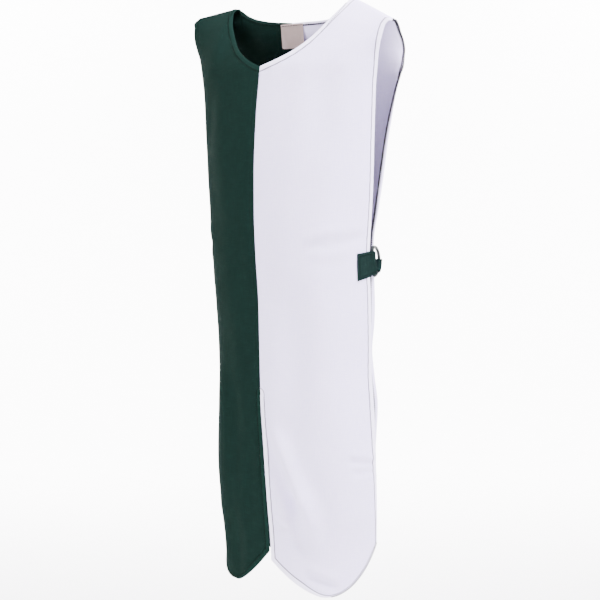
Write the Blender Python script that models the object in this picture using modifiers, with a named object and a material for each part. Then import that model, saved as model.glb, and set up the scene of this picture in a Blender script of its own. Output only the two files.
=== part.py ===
"""Parti-coloured tabard, hollow as if worn: four cloth panels, a neck label and two side fastenings.

Metres, +Z up. The front faces -Y and the wearer's left is +X. The origin lies midway between
the neck ends of the two shoulder seams, at the height of those ends.
"""

import math
from collections import namedtuple

import bmesh
import bpy
import numpy as np
from mathutils import Vector

# Cloth
WALL = 0.0018
GAP = 0.0003
INNER_GAP = 0.0006
LABEL_WALL = 0.0010

# Cut of the neckline and the shoulder seams
HALF_NECK = 0.139
FRONT_NECK_DROP = 0.120
BACK_NECK_DROP = 0.036
SEAM_ALLOWANCE = 0.004
TIP_DROP = {"green": 0.014, "white": 0.045}
TIP_DROP_ENDS = 0.155

# The neckline rises from the centre partly in a straight line and partly as a power curve
NeckCurve = namedtuple("NeckCurve", "straight power")
FRONT_NECK = {"green": NeckCurve(0.42, 2.7), "white": NeckCurve(0.36, 3.2)}
BACK_NECK = {"green": NeckCurve(0.36, 4.0), "white": NeckCurve(0.0, 6.0)}

# Cut of the hem: a tongue on each panel, and a slit between the two
FRONT_LENGTH = {"green": 1.061, "white": 1.069}
BACK_SHORTER = 0.030
TONGUE_TIP = {"green": 0.450, "white": 0.507}
TONGUE_INNER_RISE = {"green": 0.066, "white": 0.058}
TONGUE_INNER_POWER = 1.5
TONGUE_OUTER_RISE = 0.099
TONGUE_OUTER_POWER = 2.3
SLIT_TOP = 0.703
SLIT_END = 1.010
SLIT_HALF_GAP = 0.0020

# Level sections of the worn cloth. depth is how far the centre lies from the shoulder line,
# and edge_x and edge_y are where the panel's side edge lies
Section = namedtuple("Section", "drop depth edge_x edge_y")
FRONT_SECTIONS = (
    (0.000, 0.0000, 0.2320, -0.0160),
    (0.000, 0.0040, 0.2318, -0.0200),
    (0.001, 0.0090, 0.2310, -0.0225),
    (0.005, 0.0155, 0.2292, -0.0240),
    (0.014, 0.0255, 0.2262, -0.0255),
    (0.034, 0.0455, 0.2222, -0.0275),
    (0.053, 0.0600, 0.2180, -0.0278),
    (0.075, 0.0762, 0.2120, -0.0250),
    (0.092, 0.0870, 0.2075, -0.0220),
    (0.120, 0.0985, 0.2025, -0.0185),
    (0.155, 0.1035, 0.1975, -0.0160),
    (0.208, 0.1100, 0.1925, -0.0120),
    (0.317, 0.1160, 0.1860, -0.0080),
    (0.385, 0.1155, 0.1805, -0.0060),
    (0.455, 0.1115, 0.1766, -0.0060),
    (0.540, 0.1040, 0.1755, 0.0000),
    (0.660, 0.1000, 0.1720, 0.0080),
    (0.720, 0.0975, 0.1760, 0.0080),
    (0.790, 0.0915, 0.1800, 0.0080),
    (0.850, 0.0860, 0.1820, 0.0090),
    (0.920, 0.0790, 0.1780, 0.0130),
    (0.960, 0.0740, 0.1700, 0.0200),
    (1.000, 0.0710, 0.1650, 0.0250),
    (1.075, 0.0690, 0.1630, 0.0270),
)
BACK_SECTIONS = (
    (0.000, 0.0000, 0.2320, -0.0160),
    (0.000, 0.0040, 0.2315, -0.0120),
    (0.001, 0.0050, 0.2290, -0.0050),
    (0.005, 0.0035, 0.2262, 0.0050),
    (0.014, -0.0010, 0.2215, 0.0160),
    (0.031, -0.0080, 0.2150, 0.0295),
    (0.052, -0.0050, 0.2090, 0.0465),
    (0.074, 0.0080, 0.2050, 0.0560),
    (0.105, 0.0360, 0.2020, 0.0570),
    (0.140, 0.0650, 0.1985, 0.0500),
    (0.180, 0.0870, 0.1950, 0.0390),
    (0.219, 0.0970, 0.1920, 0.0290),
    (0.253, 0.0940, 0.1890, 0.0226),
    (0.325, 0.0800, 0.1840, 0.0120),
    (0.371, 0.0680, 0.1805, 0.0070),
    (0.430, 0.0580, 0.1728, 0.0045),
    (0.500, 0.0760, 0.1695, 0.0060),
    (0.577, 0.0840, 0.1652, 0.0110),
    (0.627, 0.0870, 0.1590, 0.0145),
    (0.675, 0.0900, 0.1640, 0.0150),
    (0.727, 0.0890, 0.1707, 0.0150),
    (0.790, 0.0850, 0.1689, 0.0150),
    (0.850, 0.0770, 0.1668, 0.0160),
    (0.920, 0.0730, 0.1600, 0.0200),
    (0.960, 0.0720, 0.1550, 0.0270),
    (1.045, 0.0710, 0.1500, 0.0330),
)

# How much further out than the table the green panels' side edges lie
Flare = namedtuple("Flare", "drop wider")
GREEN_FLARE = (
    (0.000, 0.000),
    (0.200, -0.002),
    (0.270, -0.003),
    (0.360, -0.001),
    (0.420, 0.000),
    (0.540, 0.000),
    (0.620, -0.002),
    (0.720, -0.001),
    (0.900, 0.001),
    (0.960, 0.007),
    (1.075, 0.009),
)

# Neck label, sewn at its top edge and hanging free
LABEL_WIDTH = 0.052
LABEL_HEIGHT = 0.044
LABEL_BELOW_NECK = 0.002
LABEL_LEAN = 0.10
LABEL_CELLS = 4

# Side fastening: a tab from the front holds a D-ring, and a strap from the back goes through it
TAB_HEIGHT = 0.045
TAB_DROP = 0.477
TAB_RISE = 0.006
TAB_ON_FRONT = 0.029
TAB_INSIDE = 0.018
STRAP_HEIGHT = 0.021
STRAP_END_DROP = 0.480
STRAP_ON_BACK = (0.043, 0.052, 0.062, 0.072)
STRAP_LIFTS = (0.0045, 0.0008, 0.0, 0.0)
STRAP_BELOW_RING = 0.0120
RING_WIRE = 0.004
RING_HALF_HEIGHT = 0.0255
RING_REACH = 0.0315
RING_CORNER = 0.003
RING_FULLNESS = 0.9
BAR = Vector((0.1790, 0.0016, -0.4680))
BOW = Vector((0.1692, 0.0306, -0.4616))
FOLD_SLACK = 0.0016
FOLD_RADIUS = RING_WIRE / 2 + FOLD_SLACK + WALL / 2

# Mesh density
NECK_COLUMNS = 7
NECK_CROWDING = 1.4
SHOULDER_COLUMNS = 9
PANEL_ROWS = 30
ROW_CROWDING = 1.4
FOLD_STEPS = 8
BOW_STEP = 9
FASTENING_ROWS = 6
SAMPLES = 2000
ARC_SAMPLES = 90
NECK_HALVINGS = 40
PROBE = 0.0005

COLOURS = {
    "green_cloth": ((0.021, 0.052, 0.045, 1.0), 0.85, 0.0),
    "white_cloth": ((0.780, 0.765, 0.830, 1.0), 0.85, 0.0),
    "cream_label": ((0.690, 0.650, 0.560, 1.0), 0.70, 0.0),
    "dark_steel": ((0.045, 0.050, 0.050, 1.0), 0.35, 1.0),
}


def slopes_of(knots, values):
    """The slope at each knot of a smooth curve that never overshoots its table."""
    rises = np.diff(values) / np.diff(knots)
    inner = [0.0 if a * b <= 0 else 2 * a * b / (a + b) for a, b in zip(rises, rises[1:])]
    return np.array([rises[0], *inner, rises[-1]])


def smooth(knots, values, places):
    """The table's values at the given places, on a smooth curve through its rows."""
    slopes = slopes_of(knots, values)
    index = np.clip(np.searchsorted(knots, places) - 1, 0, len(knots) - 2)
    width = knots[index + 1] - knots[index]
    t = (places - knots[index]) / width
    start = (1 + 2 * t) * (1 - t) ** 2 * values[index] + t * (1 - t) ** 2 * width * slopes[index]
    end = t * t * (3 - 2 * t) * values[index + 1] + t * t * (t - 1) * width * slopes[index + 1]
    return start + end


class Panel:
    """A quarter of the tabard: the outer face of one cloth panel as it hangs."""

    def __init__(self, sections, colour, facing, side, neck_drop, neck_curve, length):
        self.facing = facing
        self.side = side
        self.neck_drop = neck_drop
        self.neck_curve = neck_curve
        self.length = length
        self.inner_rise = TONGUE_INNER_RISE[colour]
        self.tongue_tip = TONGUE_TIP[colour]
        self.tip_drop = TIP_DROP[colour]
        table = np.array(sections)
        steps = np.hypot(np.diff(table[:, 0]), np.diff(table[:, 1]))
        knots = np.concatenate(([0.0], np.cumsum(steps)))
        self.downs = np.linspace(0.0, knots[-1], SAMPLES)
        self.curves = np.array([smooth(knots, values, self.downs) for values in table.T])
        if colour == "green":
            flare = np.array(GREEN_FLARE).T
            self.curves[2] += smooth(flare[0], flare[1], self.curves[0])
        self.tip_x = table[0, 2]
        self.neck_angle = math.asin((HALF_NECK - GAP / 2) / (self.tip_x - GAP / 2))

    def section(self, down):
        """The level section at a distance down the cloth from the shoulder."""
        return Section(*(float(np.interp(down, self.downs, curve)) for curve in self.curves))

    def down_at(self, drop):
        """How far down the cloth a drop below the shoulder lies."""
        return float(np.interp(drop, self.curves[0], self.downs))

    def seam_x(self, drop):
        """Half the gap at the centre seam, which widens below the slit's top."""
        opening = max(0.0, drop - SLIT_TOP) / (SLIT_END - SLIT_TOP)
        return GAP / 2 + SLIT_HALF_GAP * opening

    def point(self, angle, down, out=0.0):
        """A point on the outer face, or moved out from it. Angle 0 is the centre seam."""
        section = self.section(down)
        seam = self.seam_x(section.drop)
        x = seam + (section.edge_x - seam) * math.sin(angle)
        y = section.edge_y + (self.facing * section.depth - section.edge_y) * math.cos(angle)
        past_neck = max(0.0, x - HALF_NECK) / (self.tip_x - HALF_NECK)
        fade = max(0.0, 1 - section.drop / TIP_DROP_ENDS)
        z = -section.drop - self.tip_drop * past_neck * fade
        place = Vector((self.side * x, y + self.facing * GAP / 2, z))
        if out:
            place += out * self.normal(angle, down)
        return place

    def normal(self, angle, down):
        """The direction out of the garment."""
        turn = PROBE / self.tip_x
        across = self.point(angle, down) - self.point(angle - turn, down)
        along = self.point(angle, down + PROBE) - self.point(angle, down - PROBE)
        return (self.facing * self.side * across.cross(along)).normalized()

    def angle_from_edge(self, reach, down):
        """The angle that lies a distance in from the side edge, along the level section."""
        section = self.section(down)
        depth = abs(self.facing * section.depth - section.edge_y)
        angles = np.linspace(math.pi / 2, 0.0, ARC_SAMPLES)
        steps = np.hypot(section.edge_x * np.diff(np.sin(angles)), depth * np.diff(np.cos(angles)))
        return float(np.interp(reach, np.concatenate(([0.0], np.cumsum(steps))), angles))

    def flat_share(self, angle):
        """The share of the cut's width that lies between the centre and an angle, at the hem."""
        section = self.section(self.down_at(self.length))
        depth = abs(self.facing * section.depth - section.edge_y)
        angles = np.linspace(0.0, math.pi / 2, ARC_SAMPLES)
        steps = np.hypot(section.edge_x * np.diff(np.sin(angles)), depth * np.diff(np.cos(angles)))
        reached = np.concatenate(([0.0], np.cumsum(steps)))
        return float(np.interp(angle, angles, reached)) / reached[-1]

    def neckline(self, x):
        """The drop of the neckline at a distance from the centre."""
        share = abs(x / HALF_NECK)
        straight, power = self.neck_curve
        return self.neck_drop * (1 - straight * share - (1 - straight) * share ** power)

    def top(self, angle):
        """Where the panel starts: on the neckline, or at the shoulder seam past the neck."""
        if angle >= self.neck_angle:
            return 0.0
        low, high = 0.0, self.down_at(self.neck_drop)
        for _ in range(NECK_HALVINGS):
            middle = (low + high) / 2
            place = self.point(angle, middle)
            if -place.z < self.neckline(place.x):
                low = middle
            else:
                high = middle
        return high

    def bottom(self, angle):
        """Where the panel ends: on the tongue-shaped hem."""
        share = self.flat_share(angle)
        tip = self.tongue_tip
        if share < tip:
            rise = self.inner_rise * (1 - share / tip) ** TONGUE_INNER_POWER
        else:
            rise = TONGUE_OUTER_RISE * ((share - tip) / (1 - tip)) ** TONGUE_OUTER_POWER
        return self.down_at(self.length - rise)


def front_panel(colour, side):
    length = FRONT_LENGTH[colour]
    return Panel(FRONT_SECTIONS, colour, -1, side, FRONT_NECK_DROP, FRONT_NECK[colour], length)


def back_panel(colour, side):
    length = FRONT_LENGTH[colour] - BACK_SHORTER
    return Panel(BACK_SECTIONS, colour, 1, side, BACK_NECK_DROP, BACK_NECK[colour], length)


def make_material(name):
    colour, roughness, metallic = COLOURS[name]
    material = bpy.data.materials.new(name)
    material.use_nodes = True
    shader = material.node_tree.nodes["Principled BSDF"]
    shader.inputs["Base Color"].default_value = colour
    shader.inputs["Roughness"].default_value = roughness
    shader.inputs["Metallic"].default_value = metallic
    material.diffuse_color = colour
    return material


def add_object(name, data, collection, material):
    piece = bpy.data.objects.new(name, data)
    data.materials.append(material)
    collection.objects.link(piece)
    return piece


def grid_of(columns, rows):
    """A flat grid, and the column and row of each of its points."""
    grid = bmesh.new()
    bmesh.ops.create_grid(grid, x_segments=columns, y_segments=rows, size=0.5)
    cells = {
        vertex: (round((vertex.co.x + 0.5) * columns), round((vertex.co.y + 0.5) * rows))
        for vertex in grid.verts
    }
    return grid, cells


def mesh_object(name, grid, collection, material):
    mesh = bpy.data.meshes.new(name)
    grid.to_mesh(mesh)
    grid.free()
    piece = add_object(name, mesh, collection, material)
    mesh.shade_smooth()
    return piece


def strip(name, columns, rows, place, wall, collection, material):
    """A folded strip of cloth: the middle of its wall is a grid placed by a function."""
    grid, cells = grid_of(columns, rows)
    for vertex, (column, row) in cells.items():
        vertex.co = place(column, row)
    piece = mesh_object(name, grid, collection, material)
    solidify = piece.modifiers.new("Cloth", "SOLIDIFY")
    solidify.thickness = wall
    solidify.offset = 0
    solidify.use_even_offset = True


def wall_of(name, columns, rows, place, collection, material):
    """A cloth wall whose two faces are both placed by a function, so that its rims meet squarely."""
    grid, cells = grid_of(columns, rows)
    inner_faces = list(grid.faces)
    made = bmesh.ops.extrude_face_region(grid, geom=inner_faces, use_keep_orig=True)
    outer = [item for item in made["geom"] if isinstance(item, bmesh.types.BMVert)]
    flat = {tuple(round(value, 5) for value in vertex.co): cell for vertex, cell in cells.items()}
    found = {vertex: flat[tuple(round(value, 5) for value in vertex.co)] for vertex in outer}
    for vertex, (column, row) in found.items():
        vertex.co = place(column, row, 0.0)
    for vertex, (column, row) in cells.items():
        vertex.co = place(column, row, -WALL)
    bmesh.ops.reverse_faces(grid, faces=inner_faces)
    bmesh.ops.recalc_face_normals(grid, faces=list(grid.faces))
    mesh_object(name, grid, collection, material)


def make_panel(name, panel, collection, material):
    neck = [
        panel.neck_angle * (1 - (1 - k / NECK_COLUMNS) ** NECK_CROWDING)
        for k in range(NECK_COLUMNS)
    ]
    angles = neck + list(np.linspace(panel.neck_angle, math.pi / 2, SHOULDER_COLUMNS + 1))
    tops = [panel.top(angle) for angle in angles]
    bottoms = [panel.bottom(angle) for angle in angles]

    def place(column, row, out):
        down = tops[column]
        if row > 0:
            start = tops[column] + SEAM_ALLOWANCE
            share = ((row - 1) / (PANEL_ROWS - 1)) ** ROW_CROWDING
            down = start + share * (bottoms[column] - start)
        return panel.point(angles[column], down, out)

    wall_of(name, len(angles) - 1, PANEL_ROWS, place, collection, material)


def make_label(collection, material):
    """A plain rectangle inside the back of the neck."""
    back = back_panel("white", 1)
    top_down = back.top(0.0) + LABEL_BELOW_NECK
    top = back.point(0.0, top_down)
    inside = top.y - WALL - INNER_GAP - LABEL_WALL / 2

    def place(column, row):
        hang = LABEL_HEIGHT * row / LABEL_CELLS
        x = LABEL_WIDTH * (column / LABEL_CELLS - 0.5)
        return Vector((x, inside + LABEL_LEAN * hang, top.z - hang))

    strip("neck_label", LABEL_CELLS, LABEL_CELLS, place, LABEL_WALL, collection, material)


def mirrored(place, side):
    return Vector((side * place.x, place.y, place.z))


def ring_frame():
    """The ring's own directions: away from its bar, and up along it."""
    away = (BOW - BAR).normalized()
    up = (Vector((0, 0, 1)) - away.z * away).normalized()
    return away, up


def bow_reach(height):
    """How far the ring's bow stands from its bar at a height along the bar."""
    bend = math.sqrt(1 - (height / RING_HALF_HEIGHT) ** 2)
    return RING_CORNER + (RING_REACH - RING_CORNER) * bend ** RING_FULLNESS


def make_ring(name, side, collection, material):
    """A D-ring of round wire: a straight bar, two small corners and a bow."""
    away, up = ring_frame()
    corner = RING_HALF_HEIGHT - RING_CORNER
    outline = []
    for turn in (180, 150, 120):
        angle = math.radians(turn)
        reach = RING_CORNER + RING_CORNER * math.cos(angle)
        outline.append((reach, corner + RING_CORNER * math.sin(angle)))
    for turn in range(90, -91, -BOW_STEP):
        height = RING_HALF_HEIGHT * math.sin(math.radians(turn))
        outline.append((bow_reach(height), height))
    for turn in (240, 210, 180):
        angle = math.radians(turn)
        reach = RING_CORNER + RING_CORNER * math.cos(angle)
        outline.append((reach, -corner + RING_CORNER * math.sin(angle)))
    curve = bpy.data.curves.new(name, "CURVE")
    curve.dimensions = "3D"
    curve.bevel_depth = RING_WIRE / 2
    curve.bevel_resolution = 2
    curve.use_fill_caps = True
    spline = curve.splines.new("POLY")
    spline.points.add(len(outline) - 1)
    spline.use_cyclic_u = True
    for point, (reach, height) in zip(spline.points, outline):
        place = mirrored(BAR + reach * away + height * up, side)
        point.co = (*place, 1.0)
    add_object(name, curve, collection, material)


def make_tab(name, front, collection, material):
    """A strip on the front's outer face, folded round the ring's bar and back inside the panel."""
    side = front.side
    edge_angle = math.pi / 2
    middle = front.down_at(TAB_DROP)
    edge = mirrored(front.point(edge_angle, middle), side)
    lean = Vector((BAR.x - edge.x + WALL / 2, BAR.y - edge.y, 0)).normalized()
    outward = Vector((lean.y, -lean.x, 0))
    up = ring_frame()[1]
    outer = WALL / 2 + GAP
    inner = -WALL - INNER_GAP - WALL / 2
    stations = [("cloth", TAB_ON_FRONT * share, outer) for share in (1.0, 0.7, 0.35, 0.0)]
    stations += [("fold", math.radians(90 - 180 * k / FOLD_STEPS), 0) for k in range(FOLD_STEPS + 1)]
    stations += [("cloth", TAB_INSIDE * share, inner) for share in (0.0, 0.5, 1.0)]

    def place(column, row):
        kind, where, out = stations[column]
        height = TAB_HEIGHT * (0.5 - row / FASTENING_ROWS)
        if kind == "fold":
            round_bar = math.cos(where) * lean + math.sin(where) * outward
            return mirrored(BAR + height * up + FOLD_RADIUS * round_bar, side)
        drop = TAB_DROP - TAB_RISE * (1 - where / TAB_ON_FRONT) - height
        down = front.down_at(drop)
        return front.point(front.angle_from_edge(where, down), down, out)

    strip(name, len(stations) - 1, FASTENING_ROWS, place, WALL, collection, material)


def make_strap(name, back, collection, material):
    """A strip sewn on the back's outer face, folded round the ring's bow."""
    side = back.side
    away, up = ring_frame()
    ahead = Vector((away.x, away.y, 0)).normalized()
    outward = Vector((ahead.y, -ahead.x, 0))
    lower = WALL / 2 + INNER_GAP
    upper = lower + WALL + GAP
    lower_leg = [("cloth", reach, lower + lift) for reach, lift in zip(STRAP_ON_BACK, STRAP_LIFTS)]
    upper_leg = [("cloth", reach, upper + lift) for reach, lift in zip(STRAP_ON_BACK, STRAP_LIFTS)]
    stations = lower_leg[::-1]
    stations += [("fold", math.radians(-90 + 180 * k / FOLD_STEPS), 0) for k in range(FOLD_STEPS + 1)]
    stations += upper_leg

    def place(column, row):
        kind, where, out = stations[column]
        height = STRAP_HEIGHT * (0.5 - row / FASTENING_ROWS)
        if kind == "fold":
            along = height - STRAP_BELOW_RING
            wire = BAR + bow_reach(along) * away + along * up
            slope = (bow_reach(along + PROBE) - bow_reach(along - PROBE)) / (2 * PROBE)
            past_wire = (away - slope * up).normalized()
            spot = wire + FOLD_RADIUS * (math.sin(where) * outward - math.cos(where) * past_wire)
            return mirrored(spot, side)
        down = back.down_at(STRAP_END_DROP - height)
        return back.point(back.angle_from_edge(where, down), down, out)

    strip(name, len(stations) - 1, FASTENING_ROWS, place, WALL, collection, material)


def clear_scene():
    for old in list(bpy.data.objects):
        bpy.data.objects.remove(old, do_unlink=True)


def main():
    clear_scene()
    collection = bpy.data.collections.new("tabard")
    bpy.context.scene.collection.children.link(collection)
    materials = {name: make_material(name) for name in COLOURS}
    for colour, side, word in (("green", -1, "right"), ("white", 1, "left")):
        cloth = materials[colour + "_cloth"]
        front = front_panel(colour, side)
        back = back_panel(colour, side)
        make_panel("front_" + colour, front, collection, cloth)
        make_panel("back_" + colour, back, collection, cloth)
        make_tab("tab_" + word, front, collection, materials["green_cloth"])
        make_ring("ring_" + word, side, collection, materials["dark_steel"])
        make_strap("strap_" + word, back, collection, materials["green_cloth"])
    make_label(collection, materials["cream_label"])


main()
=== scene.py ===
"""Looks of the parti-coloured tabard: cotton panels with turned hems, a bare label and side fastenings.

Metres, +Z up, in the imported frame. The front faces -Y and the wearer's left is +X.
"""

import math
from collections import namedtuple

import bpy
import numpy as np
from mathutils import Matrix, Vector
from mathutils.kdtree import KDTree


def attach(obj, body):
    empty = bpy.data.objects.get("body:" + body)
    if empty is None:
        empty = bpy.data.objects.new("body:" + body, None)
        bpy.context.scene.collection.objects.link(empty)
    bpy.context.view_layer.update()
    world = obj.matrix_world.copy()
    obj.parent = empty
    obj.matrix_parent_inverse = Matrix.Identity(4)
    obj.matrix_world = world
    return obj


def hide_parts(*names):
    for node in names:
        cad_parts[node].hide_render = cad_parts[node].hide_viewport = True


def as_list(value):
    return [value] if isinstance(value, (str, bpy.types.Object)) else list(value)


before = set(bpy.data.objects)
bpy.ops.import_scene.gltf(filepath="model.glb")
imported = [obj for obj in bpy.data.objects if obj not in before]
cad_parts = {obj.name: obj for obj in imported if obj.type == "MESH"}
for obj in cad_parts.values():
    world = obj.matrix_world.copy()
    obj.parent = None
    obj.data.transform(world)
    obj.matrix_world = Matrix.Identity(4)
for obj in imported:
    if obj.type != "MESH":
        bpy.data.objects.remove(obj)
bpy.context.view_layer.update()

# Cloth, as thick as it looks rather than as thick as the solid
CLOTH = 0.0013
TURNED_PLY = 0.0010
SOLID_WALL = 0.0018
EDGE_ROLL = 0.0006
STITCH_DIP = 0.0007
PUCKER = 0.00035
PUCKER_WAVE = 0.017
PUCKER_RUN = (0.4, 0.5, 1.0)
PUCKER_UNEVEN = 3
PUCKER_UNEVEN_OVER = 0.06
SEAM_DIP = 0.0009
SEAM_DIP_WIDTH = 0.0016

# Places across a turned hem, as shares of its width: 0 at the edge and 1 at its stitches
ROLLED_TO = 0.24
DOUBLE_TO = 1.25
DOUBLE_FADE = 0.25
DIP_WIDTH = 0.13
PUCKER_WIDTH = 0.5

# Widths of the turned hems
NECK_HEM = {"front": 0.0095, "back": 0.0050}
SIDE_HEM_DROPS = (0.62, 0.74, 0.95)
SIDE_HEMS = {"front": (0.0086, 0.0104, 0.0040), "back": (0.0034, 0.0034, 0.0034)}
SLIT_HEM = 0.0090
FOOT_HEM = 0.0095
FOOT_HEM_OUTER = 0.0034
FOOT_HEM_NARROWS = (-0.2, 0.05)
FOOT_HEM_NARROW = FOOT_HEM_OUTER + 0.0001
HEM_STEPS = (0.0, 0.04, 0.11, 0.24, 0.48, 0.74, 0.90, 1.0, 1.10, 1.28, 1.60, 2.10)
STITCH_STEP = HEM_STEPS.index(1.0)

# Cut of the neckline and the shoulder seams, as in the solids
HALF_NECK = 0.139
NECK_DROP = {"front": 0.120, "back": 0.036}
TIP_DROP = {"green": 0.014, "white": 0.045}
TIP_DROP_ENDS = 0.155
TIP_SOFTNESS = 0.10
TIP_SOFTER_BELOW = 6.0
TIP_ROLL = {"green": 0.0090, "white": 0.0020}
TIP_ROLL_WIDTH = 0.013
TIP_ROLL_DROP = 0.050
HALF_SEAM = 0.00005

# The neckline rises from the centre partly in a straight line and partly as a power curve
NeckCurve = namedtuple("NeckCurve", "straight power")
NECK_CURVES = {
    "front_green": NeckCurve(0.42, 2.7),
    "front_white": NeckCurve(0.36, 3.2),
    "back_green": NeckCurve(0.36, 4.0),
    "back_white": NeckCurve(0.0, 6.0),
}

# Cut of the hem: a tongue on each panel, and a slit between the two
FRONT_LENGTH = {"green": 1.061, "white": 1.069}
BACK_SHORTER = 0.030
TONGUE_TIP = {"green": 0.450, "white": 0.507}
TONGUE_INNER_RISE = {"green": 0.066, "white": 0.058}
TONGUE_INNER_POWER = 1.5
TONGUE_OUTER_RISE = 0.099
TONGUE_OUTER_POWER = 2.3
SLIT_TOP = 0.703
SLIT_END = 1.010
SLIT_HALF_GAP = 0.0020

# Level sections of the worn cloth. depth is how far the centre lies from the shoulder line,
# and edge_x and edge_y are where the panel's side edge lies
FRONT_SECTIONS = (
    (0.000, 0.0000, 0.2320, -0.0160),
    (0.000, 0.0040, 0.2318, -0.0200),
    (0.001, 0.0090, 0.2310, -0.0225),
    (0.005, 0.0155, 0.2292, -0.0240),
    (0.014, 0.0255, 0.2262, -0.0255),
    (0.034, 0.0455, 0.2222, -0.0275),
    (0.053, 0.0600, 0.2180, -0.0278),
    (0.075, 0.0762, 0.2120, -0.0250),
    (0.092, 0.0870, 0.2075, -0.0220),
    (0.120, 0.0985, 0.2025, -0.0185),
    (0.155, 0.1035, 0.1975, -0.0160),
    (0.208, 0.1100, 0.1925, -0.0120),
    (0.317, 0.1160, 0.1860, -0.0080),
    (0.385, 0.1155, 0.1805, -0.0060),
    (0.455, 0.1115, 0.1766, -0.0060),
    (0.540, 0.1040, 0.1755, 0.0000),
    (0.660, 0.1000, 0.1720, 0.0080),
    (0.720, 0.0975, 0.1760, 0.0080),
    (0.790, 0.0915, 0.1800, 0.0080),
    (0.850, 0.0860, 0.1820, 0.0090),
    (0.920, 0.0790, 0.1780, 0.0130),
    (0.960, 0.0740, 0.1700, 0.0200),
    (1.000, 0.0710, 0.1650, 0.0250),
    (1.075, 0.0690, 0.1630, 0.0270),
)
BACK_SECTIONS = (
    (0.000, 0.0000, 0.2320, -0.0160),
    (0.000, 0.0040, 0.2315, -0.0120),
    (0.001, 0.0050, 0.2290, -0.0050),
    (0.005, 0.0035, 0.2262, 0.0050),
    (0.014, -0.0010, 0.2215, 0.0160),
    (0.031, -0.0080, 0.2150, 0.0295),
    (0.052, -0.0050, 0.2090, 0.0465),
    (0.074, 0.0080, 0.2050, 0.0560),
    (0.105, 0.0360, 0.2020, 0.0570),
    (0.140, 0.0650, 0.1985, 0.0500),
    (0.180, 0.0870, 0.1950, 0.0390),
    (0.219, 0.0970, 0.1920, 0.0290),
    (0.253, 0.0940, 0.1890, 0.0226),
    (0.325, 0.0800, 0.1840, 0.0120),
    (0.371, 0.0680, 0.1805, 0.0070),
    (0.430, 0.0580, 0.1728, 0.0045),
    (0.500, 0.0760, 0.1695, 0.0060),
    (0.577, 0.0840, 0.1652, 0.0110),
    (0.627, 0.0870, 0.1590, 0.0145),
    (0.675, 0.0900, 0.1640, 0.0150),
    (0.727, 0.0890, 0.1707, 0.0150),
    (0.790, 0.0850, 0.1689, 0.0150),
    (0.850, 0.0770, 0.1668, 0.0160),
    (0.920, 0.0730, 0.1600, 0.0200),
    (0.960, 0.0720, 0.1550, 0.0270),
    (1.045, 0.0710, 0.1500, 0.0330),
)

# How much further out than the table each colour's side edges lie: drop, wider
FLARE = {
    "green": (
        (0.000, 0.000), (0.016, 0.002), (0.042, 0.004), (0.090, 0.001), (0.200, -0.002),
        (0.270, -0.003), (0.360, -0.001), (0.420, 0.000), (0.540, 0.000), (0.620, -0.002),
        (0.720, -0.001), (0.900, 0.001), (0.960, 0.007), (1.075, 0.009),
    ),
    "white": (
        (0.000, 0.000), (0.840, 0.000), (0.920, 0.002),
        (0.960, 0.004), (1.000, 0.005), (1.075, 0.005),
    ),
}

# Soft creases on each panel. across is from the centre along the cloth, and a plus height is a ridge
Crease = namedtuple("Crease", "across drop to_across to_drop width height")
CREASES = {
    "front_white": (
        (0.006, 0.800, 0.052, 0.905, 0.014, -0.0100),
        (0.052, 0.905, 0.062, 0.972, 0.016, -0.0090),
        (0.040, 0.800, 0.086, 0.925, 0.018, 0.0050),
        (0.178, 0.822, 0.212, 0.826, 0.006, -0.0045),
        (0.184, 0.842, 0.210, 0.840, 0.006, -0.0032),
        (0.012, 0.934, 0.030, 0.944, 0.005, -0.0034),
        (0.012, 0.952, 0.028, 0.950, 0.005, -0.0026),
        (0.088, 1.036, 0.122, 1.046, 0.007, -0.0050),
        (0.142, 0.442, 0.196, 0.428, 0.010, -0.0042),
        (0.118, 0.440, 0.150, 0.426, 0.008, -0.0032),
        (0.130, 0.470, 0.200, 0.474, 0.014, -0.0022),
        (0.112, 0.100, 0.146, 0.240, 0.030, -0.0020),
        (0.060, 0.560, 0.085, 0.740, 0.034, -0.0034),
        (0.140, 0.560, 0.120, 0.900, 0.040, 0.0030),
    ),
    "front_green": (
        (0.076, 0.730, 0.092, 1.010, 0.020, -0.0034),
        (0.120, 0.700, 0.142, 0.980, 0.024, 0.0026),
        (0.142, 0.442, 0.196, 0.428, 0.010, -0.0020),
        (0.130, 0.474, 0.200, 0.478, 0.014, -0.0016),
        (0.110, 0.090, 0.150, 0.250, 0.022, -0.0018),
        (0.030, 0.820, 0.050, 0.930, 0.016, -0.0022),
    ),
    "back_white": (
        (0.040, 0.740, 0.072, 0.960, 0.020, -0.0036),
        (0.090, 0.600, 0.120, 0.900, 0.024, 0.0028),
        (0.090, 0.452, 0.150, 0.470, 0.012, -0.0026),
        (0.050, 0.400, 0.130, 0.442, 0.016, -0.0024),
        (0.080, 0.060, 0.130, 0.170, 0.018, -0.0018),
    ),
    "back_green": (
        (0.050, 0.720, 0.060, 0.950, 0.020, -0.0036),
        (0.100, 0.620, 0.118, 0.930, 0.024, 0.0028),
        (0.096, 0.456, 0.150, 0.470, 0.012, -0.0026),
        (0.040, 0.410, 0.126, 0.448, 0.016, -0.0024),
        (0.080, 0.064, 0.132, 0.180, 0.018, -0.0018),
    ),
}
DRIFT = 0.0016
DRIFT_WAVES = ((0.115, 0.33, 0.4), (0.21, 0.19, 2.1), (0.075, 0.52, 4.0))
DRIFT_SIDES_APART = 0.7

# How a crease fades past its ends, and the counter-fold beside it, in widths of the crease
CREASE_FADE = 1.6
COUNTER_FOLD = 0.45
COUNTER_AWAY = 2.0
COUNTER_WIDTH = 1.3

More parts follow.
